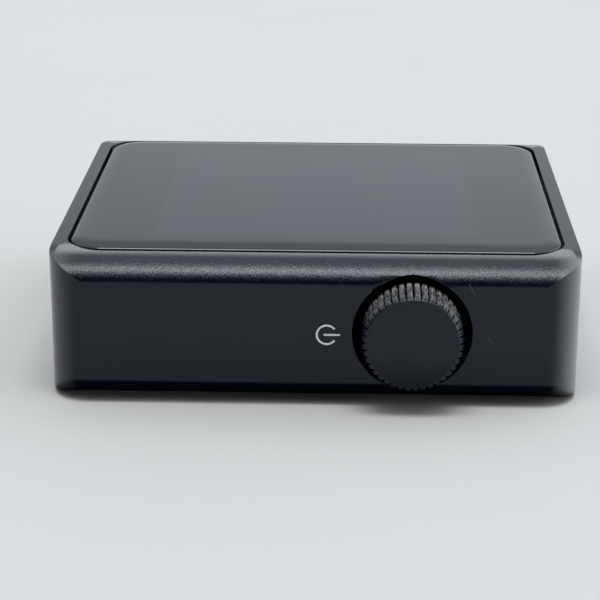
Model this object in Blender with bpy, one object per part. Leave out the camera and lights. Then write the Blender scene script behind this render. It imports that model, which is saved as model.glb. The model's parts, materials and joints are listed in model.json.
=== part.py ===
"""A pocket digital audio player: an aluminium tub with a cover glass, and a push-and-turn knob in its side.

The frame is in metres. +Z points up out of the screen. X runs along the body, and the end with the ports
faces -X. The side with the knob faces -Y. The origin lies under the middle of the body, in the plane it
rests on.
"""

import math

import bmesh
import bpy
from mathutils import Vector

MM = 0.001

# Driving dimensions of the case.
BODY_LENGTH = 45.0 * MM
BODY_DEPTH = 42.0 * MM
BODY_HEIGHT = 12.84 * MM
CORNER_RADIUS = 3.4 * MM
EDGE_DEPTH = 4.2 * MM
UPPER_EDGE_HEIGHT = 2.2 * MM
LOWER_EDGE_HEIGHT = 1.85 * MM
LOWER_EDGE_DEPTH = 2.8 * MM
END_RIM = 1.21 * MM
FLOOR = 1.2 * MM
SEAT_DEPTH = 1.25 * MM
SEAT_LEDGE_X = 1.1 * MM
SEAT_LEDGE_Y = 1.1 * MM

# Driving dimensions of the cover glass and the display under it.
GLASS_FRONT_INSET = 3.3 * MM
GLASS_GAP = 0.2 * MM
GLASS_SIDE_GAP = 0.5 * MM
GLASS_RISE = 0.2 * MM
GLASS_THICKNESS = 1.28 * MM
GLASS_CORNER = 3.0 * MM
GLASS_EDGE_DEPTH = 1.7 * MM
GLASS_EDGE_DROP = 0.42 * MM
GASKET_WIDTH = 0.7 * MM
DISPLAY_LENGTH = 33.4 * MM
DISPLAY_WIDTH = 31.4 * MM

# Driving dimensions of the knob, its recess and the encoder behind it.
KNOB_X = 8.27 * MM
KNOB_Z = 6.58 * MM
RECESS_RADIUS = 5.07 * MM
RECESS_DEPTH = 2.2 * MM
KNOB_TEETH = 40
KNOB_TIP_RADIUS = 4.27 * MM
KNOB_ROOT_RADIUS = 3.86 * MM
KNOB_FACE_RADIUS = 3.78 * MM
KNOB_HUB_RADIUS = 2.6 * MM
KNOB_OUT = 2.45 * MM
KNOB_TOOTH_LENGTH = 3.65 * MM
KNOB_BEVEL = 0.3 * MM
PRESS_TRAVEL = 0.3 * MM
WASHER_THICKNESS = 0.25 * MM
SHAFT_RADIUS = 1.0 * MM
RUNNING_GAP = 0.05 * MM
ENCODER_WIDTH = 6.8 * MM
ENCODER_HEIGHT = 4.1 * MM

# Driving dimensions of the ports.
PORT_Z = 6.34 * MM
USB_Y = 1.5 * MM
USB_WIDTH = 8.94 * MM
USB_HEIGHT = 3.16 * MM
USB_LENGTH = 7.3 * MM
JACK_Y = -9.6 * MM
JACK_BORE_RADIUS = 1.78 * MM
JACK_LENGTH = 12.0 * MM
CARD_X = 1.2 * MM
CARD_Z = 6.44 * MM
CARD_SLOT = (11.6 * MM, 1.2 * MM)

# Driving dimensions of the board and the battery.
BOARD_Z = (4.94 * MM, 5.74 * MM)
BOARD_HALF = (19.5 * MM, 16.4 * MM)
POST_PLACE = (18.2 * MM, 14.9 * MM)
POST_RADIUS = 1.5 * MM
SCREW_RADIUS = 0.6 * MM
BATTERY_SIZE = (32.4 * MM, 22.0 * MM, 3.0 * MM)
BATTERY_PAD = 0.3 * MM
WIRE_RADIUS = 0.35 * MM

# The power mark printed beside the knob.
MARK_X = 1.1 * MM
MARK_Z = 6.43 * MM
MARK_RADIUS = 0.83 * MM
MARK_LINE = 0.16 * MM
MARK_THICKNESS = 0.02 * MM

GAP = 0.05 * MM
ROUND_STEPS = 48
SMOOTH_ANGLE = math.radians(35)

FRONT = -BODY_DEPTH / 2
GLASS_HALF = (BODY_LENGTH / 2 - END_RIM - GLASS_GAP, BODY_DEPTH / 2 - GLASS_FRONT_INSET)
SEAT_HALF = (GLASS_HALF[0] + GLASS_GAP, GLASS_HALF[1] + GLASS_SIDE_GAP)
CAVITY_HALF = (SEAT_HALF[0] - SEAT_LEDGE_X, SEAT_HALF[1] - SEAT_LEDGE_Y)
SEAT_Z = BODY_HEIGHT - SEAT_DEPTH
GLASS_TOP = BODY_HEIGHT + GLASS_RISE
RECESS_FLOOR = FRONT + RECESS_DEPTH
INNER_WALL = -CAVITY_HALF[1]
KNOB_FRONT = FRONT - KNOB_OUT
KNOB_BACK = KNOB_FRONT + KNOB_TOOTH_LENGTH
WASHER_FRONT = RECESS_FLOOR - GAP - WASHER_THICKNESS
PARTS_TOP = BOARD_Z[1] + GAP


def finish(name, colour, roughness, metallic=0.0, alpha=1.0):
    """A Principled material with the piece's colour, roughness and metallic value."""
    material = bpy.data.materials.new(name)
    material.use_nodes = True
    shader = material.node_tree.nodes["Principled BSDF"]
    shader.inputs["Base Color"].default_value = (*colour, 1.0)
    shader.inputs["Roughness"].default_value = roughness
    shader.inputs["Metallic"].default_value = metallic
    shader.inputs["Alpha"].default_value = alpha
    material.diffuse_color = (*colour, alpha)
    return material


def place(name, mesh_builder, material, origin=(0.0, 0.0, 0.0), parent=None):
    """Makes one named object from a bmesh, with its own origin, under a parent if one is given."""
    bmesh.ops.remove_doubles(mesh_builder, verts=mesh_builder.verts, dist=0.0001 * MM)
    bmesh.ops.recalc_face_normals(mesh_builder, faces=mesh_builder.faces)
    mesh = bpy.data.meshes.new(name)
    mesh_builder.to_mesh(mesh)
    mesh_builder.free()
    mesh.shade_smooth()
    mesh.set_sharp_from_angle(angle=SMOOTH_ANGLE)
    piece = bpy.data.objects.new(name, mesh)
    bpy.context.scene.collection.objects.link(piece)
    piece.location = origin
    if material:
        mesh.materials.append(material)
    if parent:
        piece.parent = parent
        piece.location = Vector(origin) - parent.location
    return piece


def axis_empty(name, location):
    """An empty that stands on a joint's axis, for the pieces that move with it."""
    empty = bpy.data.objects.new(name, None)
    empty.empty_display_size = 3 * MM
    bpy.context.scene.collection.objects.link(empty)
    empty.location = location
    return empty


def rounded_rectangle(half_a, half_b, radius, steps=8):
    """Points round a rectangle with arcs at its corners, about its own centre."""
    points = []
    for corner, (side_a, side_b) in enumerate(((1, 1), (-1, 1), (-1, -1), (1, -1))):
        for step in range(steps + 1):
            angle = math.pi / 2 * (corner + step / steps)
            points.append((
                side_a * (half_a - radius) + radius * math.cos(angle),
                side_b * (half_b - radius) + radius * math.sin(angle),
            ))
    return points


def circle(radius, steps=ROUND_STEPS):
    """Points round a circle."""
    return [
        (radius * math.cos(2 * math.pi * i / steps), radius * math.sin(2 * math.pi * i / steps))
        for i in range(steps)
    ]


def prism(outline, axis, low, high, centre=(0.0, 0.0)):
    """A solid with a flat outline, extruded along one axis from low to high."""
    order = {"x": (2, 0, 1), "y": (0, 2, 1), "z": (0, 1, 2)}[axis]
    builder = bmesh.new()
    for level in (low, high):
        loop = []
        for a, b in outline:
            values = (a + centre[0], b + centre[1], level)
            loop.append(builder.verts.new([values[i] for i in order]))
        builder.faces.new(loop)
    builder.verts.ensure_lookup_table()
    count = len(outline)
    for i in range(count):
        j = (i + 1) % count
        corners = (i, j, count + j, count + i)
        builder.faces.new([builder.verts[k] for k in corners])
    return builder


def block(x, y, z, edge=0.0):
    """A box between two limits on each axis, with its edges bevelled if an edge width is given."""
    builder = prism([(x[0], y[0]), (x[1], y[0]), (x[1], y[1]), (x[0], y[1])], "z", *z)
    if edge:
        bmesh.ops.bevel(
            builder, geom=list(builder.edges), offset=edge, segments=2, profile=0.5, affect="EDGES"
        )
    return builder


def turned(profile, steps=ROUND_STEPS, closed=False):
    """A solid of revolution about the local Y axis. The profile holds (radius, y) pairs: from one point on
    the axis to the other, or round a ring's section when closed."""
    builder = bmesh.new()
    rings = []
    for radius, y in profile:
        if radius == 0:
            rings.append([builder.verts.new((0, y, 0))] * steps)
        else:
            rings.append([builder.verts.new((a, y, b)) for a, b in circle(radius, steps)])
    pairs = list(zip(rings, rings[1:]))
    if closed:
        pairs.append((rings[-1], rings[0]))
    for first, second in pairs:
        for i in range(steps):
            j = (i + 1) % steps
            corners = []
            for vert in (first[i], first[j], second[j], second[i]):
                if vert not in corners:
                    corners.append(vert)
            builder.faces.new(corners)
    return builder


def ring_section(inner, outer, low, high):
    """The section of a plain ring, as (radius, y) pairs."""
    return [(inner, low), (outer, low), (outer, high), (inner, high)]


def strip(path, thickness, y):
    """A flat strip or ribbon: a path of (x, z) points, thickened in its plane, between two y limits."""
    half = thickness / 2
    sides = ([], [])
    for i, (x, z) in enumerate(path):
        before = path[max(i - 1, 0)]
        after = path[min(i + 1, len(path) - 1)]
        along = Vector((after[0] - before[0], after[1] - before[1])).normalized()
        sides[0].append((x - along.y * half, z + along.x * half))
        sides[1].append((x + along.y * half, z - along.x * half))
    return prism(sides[0] + sides[1][::-1], "y", *y)


def turn_back(x, z_start, z_end, bulge, steps=8):
    """Points of a half turn in the XZ plane, from one height to another, bulging towards +X or -X."""
    middle = (z_start + z_end) / 2
    radius = (z_start - z_end) / 2
    angles = [math.pi * i / steps for i in range(steps + 1)]
    return [
        (x + bulge * radius * math.sin(angle), middle + radius * math.cos(angle))
        for angle in angles
    ]


def wire(path, y, steps=10):
    """A round wire whose middle follows (x, z) points at one y."""
    builder = bmesh.new()
    rings = []
    for i, (x, z) in enumerate(path):
        before = path[max(i - 1, 0)]
        after = path[min(i + 1, len(path) - 1)]
        along = Vector((after[0] - before[0], 0, after[1] - before[1])).normalized()
        across = along.cross(Vector((0, 1, 0)))
        ring = []
        for a, b in circle(WIRE_RADIUS, steps):
            ring.append(builder.verts.new(Vector((x, y, z)) + across * a + Vector((0, b, 0))))
        rings.append(ring)
    for first, second in zip(rings, rings[1:]):
        for i in range(steps):
            j = (i + 1) % steps
            builder.faces.new((first[i], first[j], second[j], second[i]))
    builder.faces.new(rings[0])
    builder.faces.new(rings[-1])
    return builder


def combine(piece, other, operation):
    """Adds a Boolean with a hidden helper object."""
    other.hide_render = True
    other.display_type = "WIRE"
    modifier = piece.modifiers.new(other.name, "BOOLEAN")
    modifier.operation = operation
    modifier.object = other
    modifier.solver = "EXACT"


def cut(piece, name, builder, origin=(0.0, 0.0, 0.0)):
    """Cuts a shape out of a piece."""
    combine(piece, place("cutter_" + name, builder, None, origin), "DIFFERENCE")


def join(piece, name, builder, origin=(0.0, 0.0, 0.0)):
    """Joins a shape to a piece."""
    combine(piece, place("guide_" + name, builder, None, origin), "UNION")


def side_section(steps=9):
    """The case's cross-section, as (y, z) points. Each long side is flat between a quarter ellipse above and a
    straight undercut below."""
    half = BODY_DEPTH / 2
    side = [(half - LOWER_EDGE_DEPTH, 0.0), (half, LOWER_EDGE_HEIGHT)]
    for step in range(steps + 1):
        angle = math.pi / 2 * step / steps
        side.append((
            half - EDGE_DEPTH * (1 - math.cos(angle)),
            BODY_HEIGHT - UPPER_EDGE_HEIGHT * (1 - math.sin(angle)),
        ))
    return side + [(-y, z) for y, z in reversed(side)]


def make_case(aluminium):
    """The tub: one block of aluminium, open under the glass, with openings for the knob and the ports."""
    half_length = BODY_LENGTH / 2
    case = place("case_shell", prism(side_section(), "x", -half_length, half_length), aluminium)
    plan = rounded_rectangle(half_length, BODY_DEPTH / 2, CORNER_RADIUS)
    combine(case, place("guide_plan", prism(plan, "z", -MM, BODY_HEIGHT + MM), None), "INTERSECT")
    seat = rounded_rectangle(*SEAT_HALF, GLASS_CORNER + GLASS_GAP)
    cut(case, "glass_seat", prism(seat, "z", SEAT_Z, BODY_HEIGHT + MM))
    cavity = rounded_rectangle(*CAVITY_HALF, 1.0 * MM, steps=4)
    cut(case, "cavity", prism(cavity, "z", FLOOR, SEAT_Z + MM / 2))

    centre = (KNOB_X, KNOB_Z)
    cut(case, "recess", prism(circle(RECESS_RADIUS, 72), "y", FRONT - MM, RECESS_FLOOR, centre))
    cut(case, "shaft_bore", prism(circle(2.1 * MM), "y", FRONT, INNER_WALL + MM, centre))

    end = -half_length
    inner_end = -CAVITY_HALF[0] + MM
    usb = rounded_rectangle(USB_WIDTH / 2 + 0.12 * MM, USB_HEIGHT / 2 + 0.12 * MM, 1.6 * MM, steps=6)
    cut(case, "usb_opening", prism(usb, "x", end - MM, inner_end, (USB_Y, PORT_Z)))
    cut(case, "jack_opening", prism(circle(2.6 * MM), "x", end - MM, inner_end, (JACK_Y, PORT_Z)))
    slot = rounded_rectangle(CARD_SLOT[0] / 2, CARD_SLOT[1] / 2, 0.4 * MM, steps=4)
    card_way = prism(slot, "y", CAVITY_HALF[1] - MM, BODY_DEPTH / 2 + MM, (CARD_X, CARD_Z))
    cut(case, "card_opening", card_way)

    for number, (side_x, side_y) in enumerate(((1, 1), (-1, 1), (-1, -1), (1, -1)), 1):
        place_xy = (side_x * POST_PLACE[0], side_y * POST_PLACE[1])
        top = BOARD_Z[0] - GAP
        join(case, f"post_{number}", prism(circle(POST_RADIUS, 16), "z", FLOOR - MM / 2, top, place_xy))
        hole = circle(SCREW_RADIUS + GAP, 12)
        cut(case, f"post_hole_{number}", prism(hole, "z", 1.9 * MM, top + MM, place_xy))
    return case


def make_glass(glass, foam, film):
    """The cover glass with its rounded upper edge, the gasket under its rim and the touch film."""
    builder = bmesh.new()
    bottom = GLASS_TOP - GLASS_THICKNESS
    steps = 6
    levels = [(0.0, bottom)]
    for step in range(steps + 1):
        angle = math.pi / 2 * step / steps
        inset = GLASS_EDGE_DEPTH * (1 - math.cos(angle))
        levels.append((inset, GLASS_TOP - GLASS_EDGE_DROP * (1 - math.sin(angle))))
    rings = []
    for inset, z in levels:
        radius = max(GLASS_CORNER - inset, 1.0 * MM)
        outline = rounded_rectangle(GLASS_HALF[0] - inset, GLASS_HALF[1] - inset, radius)
        rings.append([builder.verts.new((a, b, z)) for a, b in outline])
    count = len(rings[0])
    for first, second in zip(rings, rings[1:]):
        for i in range(count):
            j = (i + 1) % count
            builder.faces.new((first[i], first[j], second[j], second[i]))
    builder.faces.new(rings[0])
    builder.faces.new(rings[-1])
    place("cover_glass", builder, glass)

    outer = rounded_rectangle(*GLASS_HALF, GLASS_CORNER)
    low, high = SEAT_Z + 0.02 * MM, bottom - 0.02 * MM
    gasket = place("glass_gasket", prism(outer, "z", low, high), foam)
    inner = (GLASS_HALF[0] - GASKET_WIDTH, GLASS_HALF[1] - GASKET_WIDTH)
    cut(gasket, "gasket_window", prism(rounded_rectangle(*inner, 2.3 * MM), "z", low - MM, high + MM))
    film_half = (CAVITY_HALF[0] - 0.4 * MM, CAVITY_HALF[1] - 0.4 * MM)
    film_top = bottom - GAP
    sheet = rounded_rectangle(*film_half, 1.0 * MM, steps=3)
    place("touch_film", prism(sheet, "z", film_top - 0.25 * MM, film_top), film)


def make_display(plastic, panel, metal, ribbon, socket):
    """The display under the glass: panel, backlight, the frame that holds them, and two ribbons."""
    half_x, half_y = DISPLAY_LENGTH / 2, DISPLAY_WIDTH / 2
    backlight_z = (8.89 * MM, 10.19 * MM)
    block_y = (-half_y, half_y)
    place("display_backlight", block((-half_x, half_x), block_y, backlight_z), metal)
    panel_z = (backlight_z[1] + GAP, backlight_z[1] + 0.95 * MM)
    inset = 0.4 * MM
    sides = ((inset - half_x, half_x - inset), (inset - half_y, half_y - inset))
    place("display_panel", block(*sides, panel_z), panel)

    outer = (-19.0 * MM, 19.0 * MM), (0.3 * MM - CAVITY_HALF[1], CAVITY_HALF[1] - 0.3 * MM)
    frame_z = (8.94 * MM, 11.14 * MM)
    frame = place("display_frame", block(*outer, frame_z), plastic)
    window = ((-half_x - 0.1 * MM, half_x + 0.1 * MM), (-half_y - 0.1 * MM, half_y + 0.1 * MM))
    cut(frame, "frame_window", block(*window, (frame_z[0] - MM, frame_z[1] + MM)))

    upper, lower = 8.72 * MM, 7.09 * MM
    path = [(12.0 * MM, upper)] + turn_back(17.6 * MM, upper, lower, 1) + [(13.0 * MM, lower)]
    place("display_ribbon", strip(path, 0.16 * MM, (-5.5 * MM, 0.5 * MM)), ribbon)
    connector = ((12.9 * MM, 15.2 * MM), (-5.9 * MM, 0.9 * MM), (PARTS_TOP, lower - 0.15 * MM))
    place("display_connector", block(*connector), socket)

    fall_x = -19.65 * MM
    path = [(-17.9 * MM, 11.26 * MM), (-19.3 * MM, 11.26 * MM), (fall_x, 10.94 * MM), (fall_x, 6.74 * MM)]
    path += [(-19.3 * MM, 6.39 * MM), (-18.6 * MM, 6.39 * MM)]
    place("touch_ribbon", strip(path, 0.16 * MM, (6.5 * MM, 8.2 * MM)), ribbon)
    connector = ((-18.5 * MM, -17.0 * MM), (6.3 * MM, 8.4 * MM), (PARTS_TOP, 6.74 * MM))
    place("touch_connector", block(*connector), socket)


def make_board(laminate, epoxy, ceramic, steel, copper_coil):
    """The main board with what is soldered to it, and the screws that hold it."""
    outline = rounded_rectangle(*BOARD_HALF, 1.0 * MM, steps=3)
    board = place("main_board", prism(outline, "z", *BOARD_Z), laminate)
    through = (BOARD_Z[0] - MM, BOARD_Z[1] + MM)
    encoder_side = ENCODER_WIDTH / 2 + 0.4 * MM
    cut(board, "encoder_notch", block((KNOB_X - encoder_side, KNOB_X + encoder_side),
                                      (-BOARD_HALF[1] - MM, -10.3 * MM), through))
    jack_side = 3.2 * MM
    cut(board, "jack_notch", block((-BOARD_HALF[0] - MM, -8.0 * MM),
                                   (JACK_Y - jack_side, JACK_Y + jack_side), through))
    usb_side = USB_WIDTH / 2 + 0.2 * MM
    cut(board, "usb_notch", block((-BOARD_HALF[0] - MM, -14.4 * MM),
                                  (USB_Y - usb_side, USB_Y + usb_side), through))
    cut(board, "wire_notch", block((-BOARD_HALF[0] - MM, -18.4 * MM), (8.9 * MM, 13.1 * MM), through))

    chips = (
        ("processor", epoxy, (-5.6, 1.4), (-6.6, 0.4), 0.9),
        ("memory_chip", epoxy, (-12.4, -7.0), (8.0, 13.4), 0.8),
        ("audio_converter", epoxy, (-2.9, 2.1), (-14.0, -9.0), 0.85),
        ("headphone_amplifier", epoxy, (-6.9, -3.9), (-13.6, -10.6), 0.7),
        ("power_controller", epoxy, (-12.6, -8.6), (1.4, 5.4), 0.8),
        ("clock_crystal", steel, (3.4, 6.6), (-6.4, -3.9), 0.7),
        ("power_coil", copper_coil, (-12.4, -9.4), (-3.6, -0.6), 1.3),
        ("radio_shield", steel, (10.6, 18.6), (2.2, 11.2), 1.4),
        ("radio_antenna", ceramic, (9.8, 15.4), (13.4, 15.2), 1.0),
    )
    for name, material, x, y, height in chips:
        limits = [(low * MM, high * MM) for low, high in (x, y)]
        place(name, block(*limits, (PARTS_TOP, PARTS_TOP + height * MM)), material)

    for number, (side_x, side_y) in enumerate(((1, 1), (-1, 1), (-1, -1), (1, -1)), 1):
        place_xy = (side_x * POST_PLACE[0], side_y * POST_PLACE[1])
        hole = prism(circle(SCREW_RADIUS + GAP, 12), "z", *through, place_xy)
        cut(board, f"board_hole_{number}", hole)
        head_z = (PARTS_TOP, PARTS_TOP + 0.5 * MM)
        screw = place(f"board_screw_{number}", prism(circle(1.15 * MM, 20), "z", *head_z, place_xy), steel)
        shank = prism(circle(SCREW_RADIUS, 12), "z", 2.1 * MM, head_z[0] + 0.2 * MM, place_xy)
        join(screw, f"shank_{number}", shank)
        slot = block((place_xy[0] - 0.13 * MM, place_xy[0] + 0.13 * MM),
                     (place_xy[1] - 0.7 * MM, place_xy[1] + 0.7 * MM),
                     (head_z[1] - 0.2 * MM, head_z[1] + MM))
        cut(screw, f"screw_slot_{number}", slot)
        cross = block((place_xy[0] - 0.7 * MM, place_xy[0] + 0.7 * MM),
                      (place_xy[1] - 0.13 * MM, place_xy[1] + 0.13 * MM),
                      (head_z[1] - 0.2 * MM, head_z[1] + MM))
        cut(screw, f"screw_cross_{number}", cross)


def make_battery(pouch, foam, plastic, red, black):
    """The pouch cell on its foam pad, with two wires to a plug at the board's edge."""
    length, width, height = BATTERY_SIZE
    middle_y = 4.8 * MM
    sides = ((-length / 2, length / 2), (middle_y - width / 2, middle_y + width / 2))
    pad_z = (FLOOR + GAP, FLOOR + GAP + BATTERY_PAD)
    place("battery_pad", block(*sides, pad_z), foam)
    cell_z = (pad_z[1] + GAP, pad_z[1] + GAP + height)
    place("battery_cell", block(*sides, cell_z, edge=0.5 * MM), pouch)

    plug_z = (PARTS_TOP + 0.1 * MM, 6.94 * MM)
    socket_z = (PARTS_TOP, 7.04 * MM)
    place("battery_socket", block((-16.9 * MM, -13.6 * MM), (8.7 * MM, 13.3 * MM), socket_z), plastic)
    place("battery_plug", block((-18.2 * MM, -16.98 * MM), (9.1 * MM, 12.9 * MM), plug_z), plastic)
    exit_x, exit_z = -18.25 * MM, (plug_z[0] + plug_z[1]) / 2
    cell_mid = (cell_z[0] + cell_z[1]) / 2
    middle = (exit_z + cell_mid) / 2
    radius = 0.65 * MM
    turn_x = -19.2 * MM
    path = [(exit_x, exit_z)]
    path += [(turn_x + radius * (1 - math.sin(a)), exit_z - radius * (1 - math.cos(a)))
             for a in (0.0, math.pi / 6, math.pi / 3, math.pi / 2)]
    path += [(turn_x, middle)]
    path += [(turn_x + radius * (1 - math.cos(a)), cell_mid + radius * (1 - math.sin(a)))
             for a in (0.0, math.pi / 6, math.pi / 3, math.pi / 2)]
    path += [(-length / 2 - GAP, cell_mid)]
    place("battery_wire_red", wire(path, 12.0 * MM), red)
    place("battery_wire_black", wire(path, 10.0 * MM), black)


def make_usb(steel, plastic):
    """The USB-C receptacle: a seamless steel shell round a flat tongue."""
    start = -BODY_LENGTH / 2 + 0.6 * MM
    end = start + USB_LENGTH
    centre = (USB_Y, PORT_Z)
    half = (USB_WIDTH / 2, USB_HEIGHT / 2)
    wall = 0.3 * MM
    back = 1.0 * MM
    outline = rounded_rectangle(*half, 1.55 * MM, steps=6)
    shell = place("usb_shell", prism(outline, "x", start, end, centre), steel)
    hollow = rounded_rectangle(half[0] - wall, half[1] - wall, 1.25 * MM, steps=6)
    cut(shell, "usb_hollow", prism(hollow, "x", start - MM, end - back, centre))
    tongue_start = start + 0.9 * MM
    tongue_outline = rounded_rectangle(3.33 * MM, 0.35 * MM, 0.2 * MM, steps=3)
    place("usb_tongue", prism(tongue_outline, "x", tongue_start, end - back - GAP, centre), plastic)


def make_jack(plastic, metal, gold):
    """The headphone jack: a moulded body, a collar in the case's opening and three contact springs."""
    start = -CAVITY_HALF[0] + GAP
    end = start + JACK_LENGTH
    centre = (JACK_Y, PORT_Z)
    sides = ((start, end), (JACK_Y - 3.0 * MM, JACK_Y + 3.0 * MM), (PORT_Z - 2.5 * MM, PORT_Z + 2.5 * MM))
    body = place("jack_body", block(*sides), plastic)
    body_bore = prism(circle(JACK_BORE_RADIUS + 0.1 * MM, 32), "x", start - MM, end - 1.2 * MM, centre)
    cut(body, "jack_bore", body_bore)
    outer = prism(circle(2.5 * MM), "x", -BODY_LENGTH / 2 + 0.15 * MM, start - GAP, centre)
    collar = place("jack_collar", outer, metal)
    bore = prism(circle(JACK_BORE_RADIUS, 32), "x", -BODY_LENGTH / 2 - MM, start + MM, centre)
    cut(collar, "collar_bore", bore)
    lead = 0.3 * MM
    contacts = (("jack_sleeve_spring", 2.0, 1), ("jack_ring_spring", 5.2, -1), ("jack_tip_spring", 8.6, 1))
    for name, along, side in contacts:
        x = (start + along * MM, start + (along + 1.0) * MM)
        slot_y = sorted((JACK_Y + side * 1.2 * MM, JACK_Y + side * 4.0 * MM))
        slot_z = (PORT_Z - 0.7 * MM, PORT_Z + 0.7 * MM)
        cut(body, name + "_slot", block((x[0] - GAP, x[1] + GAP), slot_y, slot_z))
        leaf_y = sorted((JACK_Y + side * (JACK_BORE_RADIUS + 0.02 * MM), JACK_Y + side * (3.0 * MM - lead)))
        place(name, block(x, leaf_y, (PORT_Z - 0.6 * MM, PORT_Z + 0.6 * MM)), gold)


def make_card_socket(steel, plastic):
    """The memory card socket: a folded steel cover over a moulded base, open towards the case's slot."""
    x = (CARD_X - 7.0 * MM, CARD_X + 7.0 * MM)
    y = (2.4 * MM, CAVITY_HALF[1] - 0.2 * MM)
    base_z = (PARTS_TOP, PARTS_TOP + 0.3 * MM)
    base_y = (y[0] + 0.3 * MM, y[1])
    place("card_socket_base", block((x[0] + 0.3 * MM, x[1] - 0.3 * MM), base_y, base_z), plastic)
    cover_z = (PARTS_TOP, PARTS_TOP + 1.5 * MM)
    cover = place("card_socket_cover", block(x, y, cover_z), steel)
    inside = ((x[0] + 0.2 * MM, x[1] - 0.2 * MM), (y[0] + 0.2 * MM, y[1] + MM),
              (cover_z[0] - MM, cover_z[1] - 0.15 * MM))
    cut(cover, "card_socket_inside", block(*inside))


def knob_outline(tip):
    """Points round the knob: each tooth has a root, two flanks and a tip of the given radius."""
    points = []
    root_share, flank_share = 0.14, 0.32
    marks = (
        (0.0, KNOB_ROOT_RADIUS),
        (root_share, KNOB_ROOT_RADIUS),
        (root_share + flank_share, tip),
        (1 - flank_share, tip),
    )
    for tooth in range(KNOB_TEETH):
        for share, radius in marks:
            angle = 2 * math.pi * (tooth + share) / KNOB_TEETH
            radius = min(radius, tip)
            points.append((radius * math.cos(angle), radius * math.sin(angle)))
    return points


def make_knob(black_aluminium, axis):
    """The toothed knob: its teeth run out at both ends, and it has a round boss and a blind bore behind."""
    boss_end = WASHER_FRONT - GAP - PRESS_TRAVEL
    levels = (
        (KNOB_FACE_RADIUS, KNOB_FRONT),
        (KNOB_ROOT_RADIUS - 0.02 * MM, KNOB_FRONT + KNOB_BEVEL),
        (KNOB_TIP_RADIUS, KNOB_FRONT + 2.2 * KNOB_BEVEL),
        (KNOB_TIP_RADIUS, KNOB_BACK - KNOB_BEVEL / 2),
        (KNOB_ROOT_RADIUS - 0.05 * MM, KNOB_BACK),
        (KNOB_HUB_RADIUS, KNOB_BACK),
        (KNOB_HUB_RADIUS, boss_end),
    )
    builder = bmesh.new()
    rings = [[builder.verts.new((a, y, b)) for a, b in knob_outline(radius)] for radius, y in levels]
    count = len(rings[0])
    for first, second in zip(rings, rings[1:]):
        for i in range(count):
            j = (i + 1) % count
            builder.faces.new((first[i], first[j], second[j], second[i]))
    builder.faces.new(rings[0])
    builder.faces.new(rings[-1])
    knob = place("knob", builder, black_aluminium, (KNOB_X, 0.0, KNOB_Z), axis)
    bore = prism(circle(SHAFT_RADIUS + RUNNING_GAP, 24), "y", KNOB_FRONT + 1.0 * MM, boss_end + MM)
    cut(knob, "knob_bore", bore, (KNOB_X, 0.0, KNOB_Z))


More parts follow.
